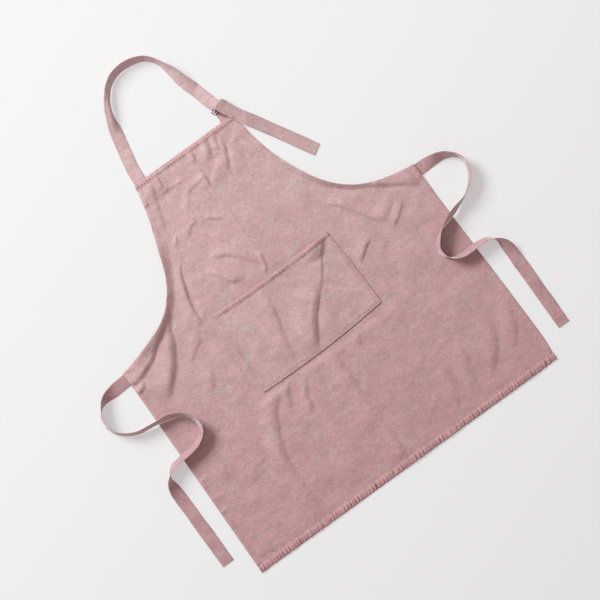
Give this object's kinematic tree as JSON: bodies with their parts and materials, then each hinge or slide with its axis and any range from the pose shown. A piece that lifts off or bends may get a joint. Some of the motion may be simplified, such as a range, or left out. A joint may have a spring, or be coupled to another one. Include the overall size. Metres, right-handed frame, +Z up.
{
  "type": "kitchen apron",
  "caption": "Bib apron of washed linen laid flat, with curved armholes, a patch pocket, puckered hems, an adjustable neck strap on a slim ring and waist ties looped beside the skirt.",
  "frame": {"origin": "on the table, under the middle of the laid apron's outline", "axes": "+X across the apron, +Y up the apron from the hem to the bib, +Z up from the table"},
  "size_m": [0.8578, 0.9456, 0.0275],
  "materials": {
    "body_linen": "washed dusty pink linen",
    "pocket_linen": "washed dusty pink linen, a shade paler",
    "strap_linen": "dusty pink linen tape, folded and topstitched",
    "ring_metal": "pale satin wire"
  },
  "bodies": {
    "root": {"body_panel": "body_linen", "pocket": "pocket_linen", "neck_strap": "strap_linen", "strap_ring": "ring_metal", "neck_tie": "strap_linen", "left_tie": "strap_linen", "right_tie": "strap_linen"}
  },
  "joints": []
}
